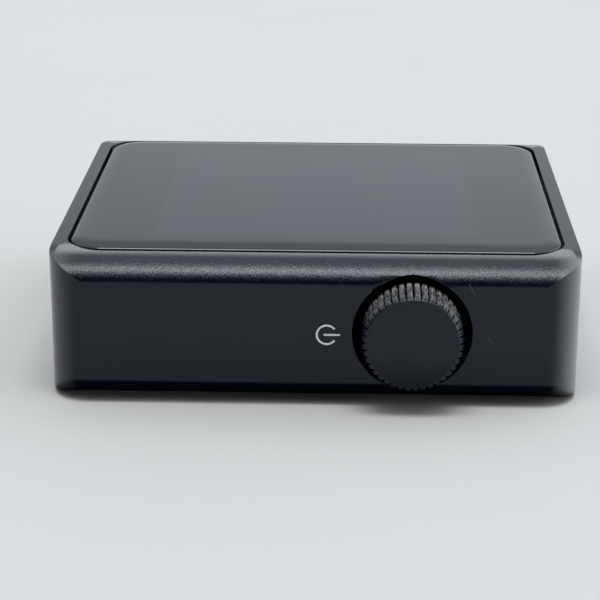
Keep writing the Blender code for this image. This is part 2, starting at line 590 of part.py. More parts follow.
def make_encoder(materials, press_axis, turn_axis, rotor_axis):
    """The rotary encoder behind the knob, with the switch that a press on the knob works."""
    brass, plastic, steel, switch_metal = materials
    origin = (KNOB_X, 0.0, KNOB_Z)
    washer = ring_section(1.3 * MM, 2.5 * MM, WASHER_FRONT, WASHER_FRONT + WASHER_THICKNESS)
    place("knob_washer", turned(washer, closed=True), plastic, origin)

    inner, outer, flange = SHAFT_RADIUS + RUNNING_GAP, 2.0 * MM, 2.8 * MM
    bushing_end = INNER_WALL + 0.45 * MM
    bushing = [
        (inner, RECESS_FLOOR + 0.2 * MM), (outer, RECESS_FLOOR + 0.2 * MM), (outer, INNER_WALL + GAP),
        (flange * 0.72, INNER_WALL + GAP), (flange * 0.72, bushing_end), (inner, bushing_end),
    ]
    place("encoder_bushing", turned(bushing, closed=True), brass, origin)

    housing_y = (bushing_end + GAP, bushing_end + 3.6 * MM)
    half_x, half_z = ENCODER_WIDTH / 2, ENCODER_HEIGHT / 2
    sides = ((KNOB_X - half_x, KNOB_X + half_x), housing_y, (KNOB_Z - half_z, KNOB_Z + half_z))
    housing = place("encoder_housing", block(*sides), plastic)
    centre = (KNOB_X, KNOB_Z)
    rotor_y = (housing_y[0] + 0.9 * MM, housing_y[0] + 2.9 * MM)
    bore_outline = circle(SHAFT_RADIUS + 0.1 * MM, 24)
    cut(housing, "housing_bore", prism(bore_outline, "y", housing_y[0] - MM, housing_y[1] + MM, centre))
    pocket = prism(circle(1.8 * MM, 32), "y", rotor_y[0] - 0.1 * MM, housing_y[1] + MM, centre)
    cut(housing, "housing_pocket", pocket)
    rotor = turned(ring_section(SHAFT_RADIUS + RUNNING_GAP, 1.7 * MM, *rotor_y), steps=32, closed=True)
    place("encoder_rotor", rotor, plastic, origin, rotor_axis)

    shaft_y = (KNOB_FRONT + 1.1 * MM, rotor_y[1] + 0.2 * MM)
    chamfer = 0.2 * MM
    shaft = [
        (0, shaft_y[0]), (SHAFT_RADIUS - chamfer, shaft_y[0]), (SHAFT_RADIUS, shaft_y[0] + chamfer),
        (SHAFT_RADIUS, shaft_y[1]), (0, shaft_y[1]),
    ]
    place("encoder_shaft", turned(shaft, steps=32), steel, origin, turn_axis)

    plunger_y = (shaft_y[1] + GAP, housing_y[1] + 0.55 * MM)
    plunger = [(0, plunger_y[0]), (0.85 * MM, plunger_y[0]), (0.85 * MM, plunger_y[1]), (0, plunger_y[1])]
    place("switch_plunger", turned(plunger, steps=24), plastic, origin, press_axis)

    base_y = (housing_y[1] + GAP, housing_y[1] + 1.75 * MM)
    base_sides = ((KNOB_X - 2.6 * MM, KNOB_X + 2.6 * MM), base_y, (KNOB_Z - 1.9 * MM, KNOB_Z + 1.9 * MM))
    base = place("switch_base", block(*base_sides), plastic)
    well_end = base_y[1] - 0.5 * MM
    cut(base, "switch_well", prism(circle(1.5 * MM, 32), "y", base_y[0] - MM, well_end, centre))
    dome_rise, sheet = 0.14 * MM, 0.08 * MM
    dome = []
    for i in range(5):
        share = i / 4
        dome.append((1.35 * MM * share, well_end - GAP - sheet - dome_rise * math.cos(math.pi / 2 * share)))
    for i in range(4, -1, -1):
        share = i / 4
        dome.append((1.35 * MM * share, well_end - GAP - dome_rise * math.cos(math.pi / 2 * share)))
    place("switch_dome", turned(dome, steps=24), switch_metal, origin)

    strap = 0.18 * MM
    top = KNOB_Z + half_z + GAP
    back = base_y[1] + GAP
    low = KNOB_Z - 1.6 * MM
    outline = [
        (housing_y[0] + 0.3 * MM, top), (back, top), (back, low),
        (back + strap, low), (back + strap, top + strap), (housing_y[0] + 0.3 * MM, top + strap),
    ]
    place("encoder_strap", prism(outline, "x", KNOB_X - 1.6 * MM, KNOB_X + 1.6 * MM), steel)


def make_power_mark(ink):
    """A generic power symbol in white ink: an open ring and a bar, turned so that the gap faces +X."""
    y = (FRONT - MARK_THICKNESS - 0.01 * MM, FRONT - 0.01 * MM)
    opening = math.radians(38)
    steps = 26
    angles = [opening + (2 * math.pi - 2 * opening) * i / steps for i in range(steps + 1)]
    inner, outer = MARK_RADIUS - MARK_LINE / 2, MARK_RADIUS + MARK_LINE / 2
    outline = [(outer * math.cos(a), outer * math.sin(a)) for a in angles]
    outline += [(inner * math.cos(a), inner * math.sin(a)) for a in reversed(angles)]
    centre = (MARK_X, MARK_Z)
    place("power_mark_ring", prism(outline, "y", *y, centre), ink)
    half = MARK_LINE / 2
    low, high = -0.25 * MM, 1.12 * MM
    bar = [(low, -half), (high, -half), (high, half), (low, half)]
    place("power_mark_bar", prism(bar, "y", *y, centre), ink)


def main():
    for old in list(bpy.data.objects):
        bpy.data.objects.remove(old, do_unlink=True)

    aluminium = finish("black_aluminium", (0.035, 0.038, 0.044), 0.42, 0.85)
    knob_finish = finish("knob_aluminium", (0.03, 0.032, 0.038), 0.36, 0.85)
    ink = finish("white_ink", (0.8, 0.81, 0.82), 0.5)
    glass = finish("cover_glass", (0.05, 0.055, 0.06), 0.06, 0.0, 0.35)
    foam = finish("black_foam", (0.03, 0.03, 0.03), 0.9)
    film = finish("clear_film", (0.5, 0.52, 0.55), 0.15)
    panel = finish("display_glass", (0.03, 0.035, 0.05), 0.1)
    steel = finish("stainless_steel", (0.6, 0.6, 0.6), 0.3, 1.0)
    black_plastic = finish("black_plastic", (0.025, 0.025, 0.027), 0.5)
    white_plastic = finish("white_plastic", (0.75, 0.74, 0.7), 0.5)
    ribbon = finish("polyimide_ribbon", (0.5, 0.22, 0.05), 0.35)
    laminate = finish("board_laminate", (0.01, 0.09, 0.06), 0.45)
    epoxy = finish("chip_epoxy", (0.02, 0.02, 0.022), 0.55)
    ceramic = finish("antenna_ceramic", (0.72, 0.74, 0.78), 0.5)
    coil = finish("coil_ferrite", (0.09, 0.09, 0.095), 0.7)
    pouch = finish("battery_foil", (0.62, 0.63, 0.64), 0.32, 0.9)
    red = finish("red_sleeve", (0.6, 0.02, 0.02), 0.45)
    black = finish("black_sleeve", (0.02, 0.02, 0.02), 0.45)
    gold = finish("gold_plate", (0.85, 0.6, 0.25), 0.25, 1.0)
    brass = finish("bushing_brass", (0.72, 0.55, 0.25), 0.3, 1.0)

    on_axis = (KNOB_X, 0.0, KNOB_Z)
    press_axis = axis_empty("press_axis", on_axis)
    turn_axis = axis_empty("turn_axis", on_axis)
    rotor_axis = axis_empty("rotor_axis", on_axis)

    make_case(aluminium)
    make_glass(glass, foam, film)
    make_display(black_plastic, panel, steel, ribbon, black_plastic)
    make_board(laminate, epoxy, ceramic, steel, coil)
    make_battery(pouch, foam, white_plastic, red, black)
    make_usb(steel, black_plastic)
    make_jack(black_plastic, steel, gold)
    make_card_socket(steel, black_plastic)
    make_knob(knob_finish, turn_axis)
    make_encoder((brass, black_plastic, steel, steel), press_axis, turn_axis, rotor_axis)
    make_power_mark(ink)


main()
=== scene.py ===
"""The looks of a pocket digital audio player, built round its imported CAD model.

Everything is in metres in the CAD model's own frame: +Z up out of the screen, the knob's side faces -Y.
"""

import json
import math

import bmesh
import bpy
from mathutils import Matrix, Vector


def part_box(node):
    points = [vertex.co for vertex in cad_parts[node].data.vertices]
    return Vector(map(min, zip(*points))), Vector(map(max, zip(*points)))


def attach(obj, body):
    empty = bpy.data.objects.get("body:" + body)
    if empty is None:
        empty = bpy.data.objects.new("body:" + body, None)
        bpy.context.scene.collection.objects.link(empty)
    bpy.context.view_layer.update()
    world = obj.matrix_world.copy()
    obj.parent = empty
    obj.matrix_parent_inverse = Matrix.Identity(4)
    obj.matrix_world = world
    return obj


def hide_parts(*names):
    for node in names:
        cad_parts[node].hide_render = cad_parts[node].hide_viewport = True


MM = 0.001

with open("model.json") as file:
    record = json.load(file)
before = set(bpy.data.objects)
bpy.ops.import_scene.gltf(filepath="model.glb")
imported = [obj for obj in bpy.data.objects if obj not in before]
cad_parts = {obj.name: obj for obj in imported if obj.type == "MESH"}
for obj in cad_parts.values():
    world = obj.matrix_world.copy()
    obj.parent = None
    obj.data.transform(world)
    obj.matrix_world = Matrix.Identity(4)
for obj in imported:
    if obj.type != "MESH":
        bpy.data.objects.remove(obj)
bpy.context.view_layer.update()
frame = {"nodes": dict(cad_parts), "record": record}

CASE_LOW, CASE_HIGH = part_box("case_shell")
GLASS_LOW, GLASS_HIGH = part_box("cover_glass")
KNOB_LOW, KNOB_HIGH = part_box("knob")
WASHER_LOW, WASHER_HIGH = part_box("knob_washer")
HALF_LENGTH = CASE_HIGH.x
HALF_DEPTH = CASE_HIGH.y
HEIGHT = CASE_HIGH.z
KNOB_CENTRE = Vector(((KNOB_LOW.x + KNOB_HIGH.x) / 2, 0.0, (KNOB_LOW.z + KNOB_HIGH.z) / 2))

# The case's roundings, as in the CAD model.
CORNER_RADIUS = 3.4 * MM
EDGE_DEPTH = 4.2 * MM
UPPER_EDGE = 2.2 * MM
LOWER_EDGE = (1.85 * MM, 2.8 * MM)
CREASE_RADIUS = (0.22 * MM, 1.1 * MM)
TOP_BREAK = 0.1 * MM
BOTTOM_BREAK = 0.06 * MM
FLOOR_THICKNESS = 1.2 * MM
SEAT_GAP = (0.2 * MM, 0.5 * MM)
SEAT_DEPTH = 1.25 * MM
SEAT_LEDGE = (1.1 * MM, 1.1 * MM)
GLASS_CORNER = 3.0 * MM
GLASS_EDGE = (1.8 * MM, 0.42 * MM)
RECESS_RADIUS = 5.07 * MM

# The openings, and the half width of the square display under the glass.
SHAFT_HOLE_RADIUS = 2.1 * MM
JACK_HOLE_RADIUS = 2.6 * MM
USB_CORNER = 1.6 * MM
CARD_SLOT_HALF = (5.8 * MM, 0.6 * MM)
OPENING_CLEARANCE = 0.12 * MM
DISPLAY_HALF = 13.86 * MM

# The knob's teeth.
TEETH = 40
TOOTH_STEPS = 12
TIP_RADIUS = (KNOB_HIGH.x - KNOB_LOW.x) / 2
ROOT_RADIUS = TIP_RADIUS - 0.43 * MM
FACE_RADIUS = TIP_RADIUS - 0.42 * MM

# The camera looks down on the knob's side from a little to the right.
CAMERA_PLACE = Vector((3.04, -170.73, 62.36)) * MM
CAMERA_TILT = 19.44
CAMERA_TURN = 1.6
CAMERA_ROLL = 0.17
CAMERA_LENS = 114.33

# The black of the case and the knob, and the tint of what it reflects.
BLACK_ANODISED = (0.0008, 0.0024, 0.008)
ANODISED_TINT = (0.88, 0.94, 1.0, 1.0)

RAMP_INPUTS = ("From Min", "From Max", "To Min", "To Max")
EVEN = (1, 1, 1)


# Materials ----------------------------------------------------------------------------------------


class Surface:
    """A Principled material built up step by step from procedural nodes, in the frame's coordinates."""

    def __init__(self, name, colour, roughness, metallic=0.0, ior=1.5):
        self.material = bpy.data.materials.new(name)
        self.material.use_nodes = True
        self.tree = self.material.node_tree
        self.shader = self.tree.nodes["Principled BSDF"]
        self.shader.inputs["Base Color"].default_value = (*colour, 1.0)
        self.shader.inputs["Roughness"].default_value = roughness
        self.shader.inputs["Metallic"].default_value = metallic
        self.shader.inputs["IOR"].default_value = ior
        self.place = self.tree.nodes.new("ShaderNodeTexCoord").outputs["Object"]
        self.colour = None

    def node(self, kind, **settings):
        made = self.tree.nodes.new(kind)
        for key, value in settings.items():
            setattr(made, key, value)
        return made

    def link(self, source, target):
        self.tree.links.new(source, target)

    def noise(self, size, detail=2.0, stretch=EVEN):
        """Noise with features about as large as size."""
        mapping = self.node("ShaderNodeMapping")
        mapping.inputs["Scale"].default_value = stretch
        self.link(self.place, mapping.inputs["Vector"])
        texture = self.node("ShaderNodeTexNoise")
        texture.inputs["Scale"].default_value = 1.0 / size
        texture.inputs["Detail"].default_value = detail
        self.link(mapping.outputs["Vector"], texture.inputs["Vector"])
        return texture.outputs["Fac"]

    def ramp(self, value, low, high, out_low=0.0, out_high=1.0):
        """Maps a value smoothly from one range to another, clamped."""
        spread = self.node("ShaderNodeMapRange", interpolation_type="SMOOTHSTEP")
        for name, number in zip(RAMP_INPUTS, (low, high, out_low, out_high)):
            spread.inputs[name].default_value = number
        self.link(value, spread.inputs["Value"])
        return spread.outputs["Result"]

    def mix_colour(self, mask, other):
        """Paints another colour where the mask is 1."""
        mix = self.node("ShaderNodeMix", data_type="RGBA")
        base = self.shader.inputs["Base Color"]
        if self.colour is None:
            mix.inputs["A"].default_value = tuple(base.default_value)
        else:
            self.link(self.colour, mix.inputs["A"])
        mix.inputs["B"].default_value = (*other, 1.0)
        self.link(mask, mix.inputs["Factor"])
        self.colour = mix.outputs["Result"]
        self.link(self.colour, base)

    def vary_roughness(self, value, low, high):
        self.link(self.ramp(value, 0.3, 0.7, low, high), self.shader.inputs["Roughness"])

    def bump(self, value, depth):
        """Raises the surface by up to depth metres where the value is 1. Later bumps add to earlier ones."""
        relief = self.node("ShaderNodeBump")
        relief.inputs["Distance"].default_value = depth
        normal = self.shader.inputs["Normal"]
        if normal.is_linked:
            self.link(normal.links[0].from_socket, relief.inputs["Normal"])
        self.link(value, relief.inputs["Height"])
        self.link(relief.outputs["Normal"], normal)

    def math(self, operation, *values):
        """One step of arithmetic on sockets and numbers."""
        step = self.node("ShaderNodeMath", operation=operation)
        for socket, value in zip(step.inputs, values):
            if isinstance(value, bpy.types.NodeSocket):
                self.link(value, socket)
            else:
                socket.default_value = value
        return step.outputs["Value"]

    def product(self, first, *others):
        """Masks multiplied together."""
        for other in others:
            first = self.math("MULTIPLY", first, other)
        return first

    def weaken_reflection(self, mask):
        """Takes the reflection away where the mask is 1."""
        self.link(self.ramp(mask, 0.0, 1.0, 0.5, 0.0), self.shader.inputs["Specular IOR Level"])

    def axes(self):
        split = self.node("ShaderNodeSeparateXYZ")
        self.link(self.place, split.inputs["Vector"])
        return split.outputs["X"], split.outputs["Y"], split.outputs["Z"]

    def distance(self, x, z):
        """How far a point is from the knob's axis."""
        across = self.math("POWER", self.math("SUBTRACT", x, KNOB_CENTRE.x), 2.0)
        up = self.math("POWER", self.math("SUBTRACT", z, KNOB_CENTRE.z), 2.0)
        return self.math("SQRT", self.math("ADD", across, up))


def scratch_mask(surface, start, end, width):
    """1 within a thin straight scratch between two (x, z) points, and 0 elsewhere."""
    x, _, z = surface.axes()
    along = Vector((end[0] - start[0], end[1] - start[1]))
    length = along.length
    along.normalize()
    from_x = surface.math("SUBTRACT", x, start[0])
    from_z = surface.math("SUBTRACT", z, start[1])
    forward = surface.math(
        "ADD", surface.math("MULTIPLY", from_x, along.x), surface.math("MULTIPLY", from_z, along.y)
    )
    aside = surface.math(
        "SUBTRACT", surface.math("MULTIPLY", from_x, along.y), surface.math("MULTIPLY", from_z, along.x)
    )
    from_middle = surface.math("ABSOLUTE", surface.math("SUBTRACT", forward, length / 2))
    past_end = surface.math("SUBTRACT", from_middle, length / 2)
    outside = surface.math("MAXIMUM", past_end, surface.math("ABSOLUTE", aside))
    return surface.ramp(outside, width / 2, width, 1.0, 0.0)


def upper_edge_masks(surface, off_y, z):
    """How far up the curved long edges a point is, from 0 to 1, and a mask that is 1 on their surface."""
    share = surface.math("DIVIDE", surface.math("SUBTRACT", z, HEIGHT - UPPER_EDGE), UPPER_EDGE)
    share = surface.math("MAXIMUM", share, 0.0)
    rounded = surface.math("SQRT", surface.math("SUBTRACT", 1.0, surface.math("POWER", share, 2.0)))
    reach = surface.math("MULTIPLY_ADD", rounded, EDGE_DEPTH, HALF_DEPTH - EDGE_DEPTH)
    on_edge = surface.ramp(surface.math("SUBTRACT", off_y, reach), -0.12 * MM, -0.03 * MM)
    return share, surface.product(on_edge, surface.ramp(share, 0.02, 0.12))


def undercut_mask(surface, off_y, z):
    """1 on the slope at the foot of the long sides, fading out just above it."""
    height, depth = LOWER_EDGE
    slope = surface.math("MULTIPLY_ADD", z, depth / height, HALF_DEPTH - depth)
    near = surface.ramp(surface.math("SUBTRACT", off_y, slope), -0.9 * MM, -0.06 * MM)
    return surface.product(near, surface.ramp(z, height, height + 0.6 * MM, 1.0, 0.0))


def recess_mask(surface, from_knob, y):
    """1 on the wall and the floor of the knob's recess."""
    inside = surface.ramp(from_knob, RECESS_RADIUS + 0.01 * MM, RECESS_RADIUS + 0.03 * MM, 1.0, 0.0)
    deep = surface.ramp(y, 0.05 * MM - HALF_DEPTH, 0.2 * MM - HALF_DEPTH)
    return surface.product(inside, deep, surface.ramp(y, -0.1 * MM, 0.0, 1.0, 0.0))


def add_rim_wear(surface, x, y, z):
    """Patchy grey wear on the rim of the recess and on the upper rim of the ends."""
    from_rim = surface.math("ABSOLUTE", surface.math("SUBTRACT", surface.distance(x, z), RECESS_RADIUS))
    at_recess = surface.product(
        surface.ramp(from_rim, 0.02 * MM, 0.07 * MM, 0.35, 0.0),
        surface.ramp(y, CORNER_RADIUS - HALF_DEPTH, -HALF_DEPTH, 0.0, 1.0),
    )
    off_x = surface.math("ABSOLUTE", x)
    at_end = surface.product(
        surface.ramp(z, HEIGHT - 0.12 * MM, HEIGHT - 0.02 * MM),
        surface.ramp(off_x, HALF_LENGTH - 0.16 * MM, HALF_LENGTH - 0.05 * MM),
    )
    patchy = surface.ramp(surface.noise(0.5 * MM, 5.0), 0.42, 0.72)
    surface.mix_colour(surface.product(surface.math("MAXIMUM", at_recess, at_end), patchy), (0.1, 0.1, 0.105))


def add_scratches(surface, y):
    """Two faint scratches to the right of the knob, on the near side only."""
    right = HALF_LENGTH - 9.0 * MM
    top = HEIGHT - 1.8 * MM
    near_side = surface.ramp(y, -5 * MM, 5 * MM, 1.0, 0.0)
    for start, end in (
        ((right - 0.6 * MM, top), (right - 0.05 * MM, top - 1.05 * MM)),
        ((right + 1.15 * MM, top - 4.7 * MM), (right + 1.4 * MM, top - 5.15 * MM)),
    ):
        scratch = scratch_mask(surface, start, end, 0.035 * MM)
        surface.mix_colour(surface.product(scratch, near_side), (0.06, 0.06, 0.065))


def blasted_aluminium():
    """Black anodised aluminium, bead-blasted: smooth on the flat sides, with a coarse sparkling grain on the
    curved long edges, and worn a little grey along the rims. Painted highlights lighten the rim beside the
    glass (there mixed with wear), the middle of the curved long edges and the corners, the right end most;
    painted shade weakens the reflection in the recess, on the slope at the foot and towards the foot."""
    surface = Surface("blasted_black_aluminium", BLACK_ANODISED, 0.2, ior=1.42)
    surface.shader.inputs["Specular Tint"].default_value = ANODISED_TINT
    x, y, z = surface.axes()
    off_x = surface.math("ABSOLUTE", x)
    off_y = surface.math("ABSOLUTE", y)
    share, on_edge = upper_edge_masks(surface, off_y, z)

    fine = surface.noise(0.13 * MM, 2.0)
    sparkle = surface.noise(0.075 * MM, 1.0)
    surface.bump(fine, 0.012 * MM)
    surface.bump(surface.product(sparkle, on_edge), 0.02 * MM)
    cloudy = surface.ramp(surface.noise(5 * MM, 4.0), 0.35, 0.75, 0.0, 0.5)
    surface.mix_colour(cloudy, (0.002, 0.0036, 0.0082))
    surface.mix_colour(surface.ramp(fine, 0.62, 0.8, 0.0, 0.6), (0.005, 0.007, 0.012))

    add_rim_wear(surface, x, y, z)
    # Partly wear, partly a painted highlight: the rim beside the glass is lightened.
    seat_edge = GLASS_HIGH.y + SEAT_GAP[1]
    near_glass = surface.ramp(off_y, GLASS_HIGH.y + 0.6 * SEAT_GAP[1], seat_edge + 0.9 * MM, 1.0, 0.0)
    worn_and_painted_highlight = surface.product(near_glass, on_edge, surface.ramp(sparkle, 0.35, 0.65, 0.3, 1.0))
    surface.mix_colour(worn_and_painted_highlight, (0.24, 0.24, 0.245))
    # Painted highlight: a sparkling light band across the middle of the curved long edges.
    painted_crown_highlight = surface.product(
        surface.ramp(share, 0.1, 0.4),
        surface.ramp(share, 0.6, 0.85, 1.0, 0.0),
        on_edge,
        surface.ramp(sparkle, 0.5, 0.72, 0.0, 0.9),
    )
    surface.mix_colour(painted_crown_highlight, (0.06, 0.06, 0.062))
    add_scratches(surface, y)

    # Painted light: the corners are lightened, more so at the right end, where the light falls.
    painted_corner_light = surface.product(
        surface.ramp(off_x, HALF_LENGTH - 2.6 * MM, HALF_LENGTH, 0.0, 0.9),
        surface.ramp(x, -5 * MM, 5 * MM, 0.45, 1.0),
        surface.ramp(off_y, HALF_DEPTH - CORNER_RADIUS, HALF_DEPTH - 2 * MM),
    )
    surface.mix_colour(painted_corner_light, (0.17, 0.173, 0.178))
    surface.vary_roughness(surface.noise(2.5 * MM, 5.0), 0.13, 0.19)

    # Painted shade: the reflection is taken away in the recess and on the slope at the foot, and weakened a
    # little on the lower half of the sides.
    painted_undercut_shade = surface.math("MULTIPLY", undercut_mask(surface, off_y, z), 0.95)
    painted_shade = surface.math("MAXIMUM", recess_mask(surface, surface.distance(x, z), y), painted_undercut_shade)
    painted_shade = surface.math("MAXIMUM", painted_shade, surface.ramp(z, 1.5 * MM, 7.5 * MM, 0.22, 0.0))
    surface.weaken_reflection(painted_shade)
    return surface.material


def knob_aluminium():
    """The knob's finish: the same black, turned finer, with faint rings on its face. The teeth that are on
    top at rest are lightened, partly by wear and partly by painted light, most deep in the recess; painted
    shade weakens the reflection on the other tips and on the lower part."""
    surface = Surface("satin_black_aluminium", BLACK_ANODISED, 0.26, ior=1.42)
    surface.shader.inputs["Specular Tint"].default_value = ANODISED_TINT
    surface.bump(surface.noise(0.12 * MM, 3.0), 0.015 * MM)
    x, y, z = surface.axes()
    radius = surface.distance(x, z)
    rings = surface.math("SINE", surface.math("MULTIPLY", radius, 2 * math.pi / (0.11 * MM)))
    surface.bump(rings, 0.0006 * MM)
    cloudy = surface.ramp(surface.noise(1.5 * MM, 5.0), 0.4, 0.75, 0.0, 0.6)
    surface.mix_colour(cloudy, (0.004, 0.0046, 0.007))
    # Wear and painted light: the tips of the teeth on top are lightened, the most deep in the recess.
    at_tips = surface.ramp(radius, FACE_RADIUS + 0.04 * MM, TIP_RADIUS - 0.06 * MM)
    streaks = surface.noise(0.16 * MM, 3.0, (1.0, 0.18, 1.0))
    upward = surface.ramp(z, KNOB_CENTRE.z + 0.8 * MM, KNOB_CENTRE.z + 3.2 * MM)
    wear_and_painted_light = surface.product(at_tips, surface.ramp(streaks, 0.35, 0.62, 0.25, 1.0), upward)
    surface.mix_colour(wear_and_painted_light, (0.13, 0.13, 0.135))
    painted_inner_light = surface.ramp(y, -HALF_DEPTH - 0.7 * MM, -HALF_DEPTH + 0.9 * MM)
    surface.mix_colour(surface.product(wear_and_painted_light, painted_inner_light), (0.45, 0.45, 0.45))
    surface.vary_roughness(surface.noise(0.9 * MM, 4.0), 0.2, 0.28)
    # Painted shade: the tips away from the top and the lower part of the knob reflect less.
    painted_shade = surface.product(at_tips, surface.ramp(upward, 0.0, 1.0, 0.75, 0.0))
    low = surface.ramp(z, KNOB_CENTRE.z - 4 * MM, KNOB_CENTRE.z, 0.5, 0.0)
    surface.weaken_reflection(surface.math("MAXIMUM", painted_shade, low))
    return surface.material


def screen_glass():
    """Polished glass over a black printed border and a dark display, with faint smudges and dust."""
    surface = Surface("black_cover_glass", (0.0006, 0.0014, 0.0024), 0.05, ior=1.54)
    surface.shader.inputs["Specular Tint"].default_value = (0.84, 0.93, 1.0, 1.0)
    x, y, _ = surface.axes()
    off_centre = surface.math("MAXIMUM", surface.math("ABSOLUTE", x), surface.math("ABSOLUTE", y))
    display = surface.ramp(off_centre, DISPLAY_HALF - 0.3 * MM, DISPLAY_HALF + 0.5 * MM, 1.0, 0.0)
    surface.mix_colour(display, (0.0032, 0.0095, 0.0205))
    smudge = surface.ramp(surface.noise(9 * MM, 4.0, (1.0, 0.45, 1.0)), 0.42, 0.72)
    surface.mix_colour(surface.product(smudge, 0.3), (0.008, 0.009, 0.011))
    specks = surface.node("ShaderNodeTexVoronoi", feature="F1")
    specks.inputs["Scale"].default_value = 1.0 / (4.2 * MM)
    surface.link(surface.place, specks.inputs["Vector"])
    dust = surface.ramp(specks.outputs["Distance"], 0.012, 0.026, 1.0, 0.0)
    chosen = surface.ramp(surface.noise(6 * MM, 1.0), 0.56, 0.6)
    surface.mix_colour(surface.product(dust, chosen), (0.5, 0.5, 0.5))
    surface.vary_roughness(surface.noise(3 * MM, 5.0), 0.035, 0.075)
    surface.bump(surface.noise(14 * MM, 1.0), 0.004 * MM)
    return surface.material


def white_print():
    """Matt white ink with slightly ragged cover."""
    surface = Surface("white_print", (0.78, 0.79, 0.8), 0.55)
    surface.mix_colour(surface.ramp(surface.noise(0.08 * MM, 4.0), 0.5, 0.8, 0.0, 0.6), (0.55, 0.56, 0.58))
    surface.bump(surface.noise(0.07 * MM, 2.0), 0.004 * MM)
    return surface.material


def moulded(name, colour, darker, roughness, grain=0.12 * MM, depth=0.006 * MM):
    """Fine-grained moulded plastic, rubber, ceramic or epoxy."""
    surface = Surface(name, colour, roughness)
    surface.mix_colour(surface.ramp(surface.noise(1.8 * MM, 4.0), 0.35, 0.75), darker)
    surface.vary_roughness(surface.noise(0.7 * MM, 4.0), roughness - 0.07, roughness + 0.09)
    surface.bump(surface.noise(grain, 3.0), depth)
    return surface.material


def rolled_metal(name, colour, darker, roughness, stretch=(0.12, 1, 1)):
    """Rolled or turned metal with a directional grain."""
    surface = Surface(name, colour, roughness, metallic=1.0)
    surface.mix_colour(surface.ramp(surface.noise(0.5 * MM, 5.0, stretch), 0.35, 0.75), darker)
    surface.vary_roughness(surface.noise(0.25 * MM, 4.0, stretch), roughness - 0.08, roughness + 0.1)
    surface.bump(surface.noise(0.09 * MM, 3.0, stretch), 0.0025 * MM)
    return surface.material


def circuit_board():
    """Green solder mask over copper tracks."""
    surface = Surface("circuit_board", (0.008, 0.085, 0.055), 0.38)
    tracks = surface.node("ShaderNodeTexBrick")
    tracks.inputs["Scale"].default_value = 1.0 / (2.2 * MM)
    tracks.inputs["Mortar Size"].default_value = 0.06
    surface.link(surface.place, tracks.inputs["Vector"])
    surface.mix_colour(tracks.outputs["Fac"], (0.02, 0.16, 0.1))
    surface.mix_colour(surface.ramp(surface.noise(2.5 * MM, 4.0), 0.5, 0.8, 0.0, 0.5), (0.005, 0.05, 0.035))
    surface.bump(tracks.outputs["Fac"], 0.02 * MM)
    surface.vary_roughness(surface.noise(1.2 * MM, 4.0), 0.32, 0.46)
    return surface.material


def display_stack():
    """The dark polished panel, with its fine grid of cells."""
    surface = Surface("display_stack", (0.01, 0.013, 0.02), 0.12)
    cells = surface.node("ShaderNodeTexBrick", offset=0.0)
    cells.inputs["Scale"].default_value = 1.0 / (0.23 * MM)
    surface.link(surface.place, cells.inputs["Vector"])
    surface.mix_colour(cells.outputs["Fac"], (0.004, 0.005, 0.007))
    surface.vary_roughness(surface.noise(2 * MM, 3.0), 0.08, 0.18)
    surface.bump(surface.noise(0.3 * MM, 2.0), 0.001 * MM)
    return surface.material


def slot_materials():
    """The material of each slot in the record."""
    return {
        "case_aluminium": blasted_aluminium(),
        "cover_glass": screen_glass(),
        "knob_aluminium": knob_aluminium(),
        "white_ink": white_print(),
        "steel": rolled_metal("stainless_steel", (0.56, 0.56, 0.55), (0.4, 0.4, 0.39), 0.28),
        "jack_metal": rolled_metal("dark_plated_metal", (0.2, 0.2, 0.21), (0.1, 0.1, 0.105), 0.3, EVEN),
        "gold_contact": rolled_metal("gold_plate", (0.83, 0.58, 0.24), (0.66, 0.43, 0.15), 0.26),
        "brass": rolled_metal("turned_brass", (0.72, 0.53, 0.24), (0.5, 0.34, 0.12), 0.3, (1, 0.1, 1)),
        "battery_foil": rolled_metal("battery_foil", (0.62, 0.63, 0.64), (0.46, 0.47, 0.48), 0.34, EVEN),
        "black_plastic": moulded("black_moulding", (0.018, 0.018, 0.02), (0.011, 0.011, 0.012), 0.5),
        "white_plastic": moulded("ivory_moulding", (0.72, 0.7, 0.64), (0.6, 0.58, 0.52), 0.46),
        "black_foam": moulded(
            "black_foam", (0.02, 0.02, 0.021), (0.009, 0.009, 0.01), 0.88, 0.3 * MM, 0.05 * MM
        ),
        "touch_film": moulded(
            "touch_film", (0.07, 0.075, 0.08), (0.05, 0.055, 0.06), 0.16, 0.6 * MM, 0.001 * MM
        ),
        "display_glass": display_stack(),
        "ribbon": moulded(
            "amber_ribbon", (0.42, 0.17, 0.03), (0.3, 0.1, 0.015), 0.34, 0.4 * MM, 0.004 * MM
        ),
        "board": circuit_board(),
        "chip": moulded(
            "chip_epoxy", (0.016, 0.016, 0.018), (0.026, 0.026, 0.028), 0.55, 0.09 * MM, 0.008 * MM
        ),
        "coil": moulded(
            "coil_ferrite", (0.07, 0.07, 0.075), (0.04, 0.04, 0.043), 0.7, 0.1 * MM, 0.012 * MM
        ),
        "ceramic": moulded(
            "antenna_ceramic", (0.66, 0.69, 0.74), (0.56, 0.58, 0.63), 0.42, 0.1 * MM, 0.003 * MM
        ),
        "red_sleeve": moulded("red_sleeve", (0.52, 0.015, 0.015), (0.38, 0.01, 0.01), 0.42),
        "black_sleeve": moulded("black_sleeve", (0.014, 0.014, 0.015), (0.008, 0.008, 0.009), 0.42),
    }


